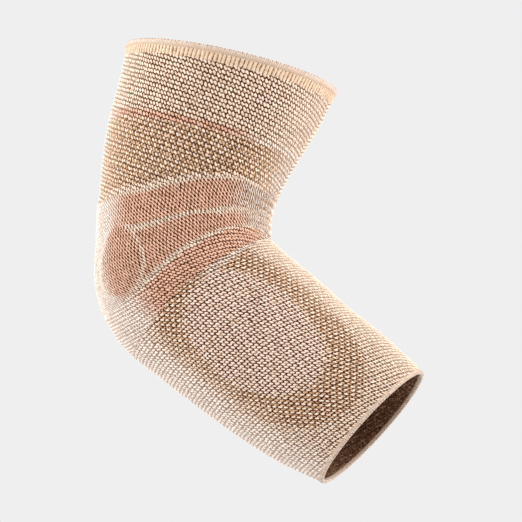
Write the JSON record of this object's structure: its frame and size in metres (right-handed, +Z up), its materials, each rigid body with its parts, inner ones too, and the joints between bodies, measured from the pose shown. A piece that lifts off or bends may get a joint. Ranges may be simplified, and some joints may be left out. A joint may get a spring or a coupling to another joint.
{
  "type": "knitted elbow brace",
  "caption": "Bent compression sleeve for the elbow, knitted as one tube with a welted edge at each opening and a soft pad beside each side of the joint.",
  "frame": {"origin": "the middle of the arm at the elbow, where the arm holds the brace", "axes": "+Z up, along the longest side, close to the upper arm; +X forward, the way the forearm runs; +Y to the wearer's left, across the bend and along the elbow's hinge, the shortest side"},
  "size_m": [0.1694, 0.0904, 0.2299],
  "materials": {
    "knit": "matte beige, tan and peach elastic knit with raised cream stitches",
    "welt": "smooth fine-ribbed cream knit edge",
    "pad": "soft matte peach silicone"
  },
  "bodies": {
    "root": {"knit_sleeve": "knit", "upper_welt": "welt", "lower_welt": "welt", "right_elbow_pad": "pad", "left_elbow_pad": "pad"}
  },
  "joints": []
}
